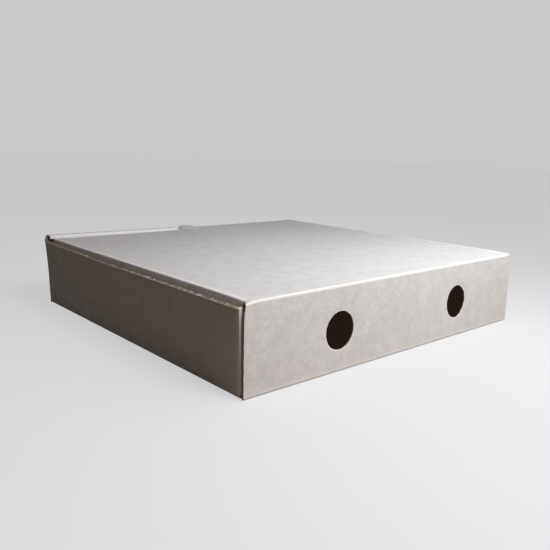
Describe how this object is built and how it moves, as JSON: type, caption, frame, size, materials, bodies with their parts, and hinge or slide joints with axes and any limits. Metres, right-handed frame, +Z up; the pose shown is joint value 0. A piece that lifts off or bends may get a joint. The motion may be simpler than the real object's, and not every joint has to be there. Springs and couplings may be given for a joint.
{
  "type": "pizza box",
  "caption": "Shallow square folding box of corrugated board with a lid hinged on its back wall, a rolled-over front wall and round steam vents.",
  "frame": {"origin": "centre of the box's underside, on the surface that it stands on", "axes": "+Z up; the front opening with the pull tab faces -Y, the vented back wall with the lid's hinge crease faces +Y; +X to the right seen from the front"},
  "size_m": [0.229, 0.229, 0.0493],
  "materials": {
    "board": "fine-flute corrugated board, smooth white liner outside and brown kraft liner inside, raw brown cut edges"
  },
  "bodies": {
    "tray": {"tray": "board"},
    "lid": {"lid": "board"}
  },
  "joints": [
    {"name": "lid_hinge", "type": "hinge", "parent": "tray", "child": "lid", "pos_m": [0, 0.1145, 0.0465], "axis": [-1, 0, 0], "range_deg": [0, 175]}
  ]
}
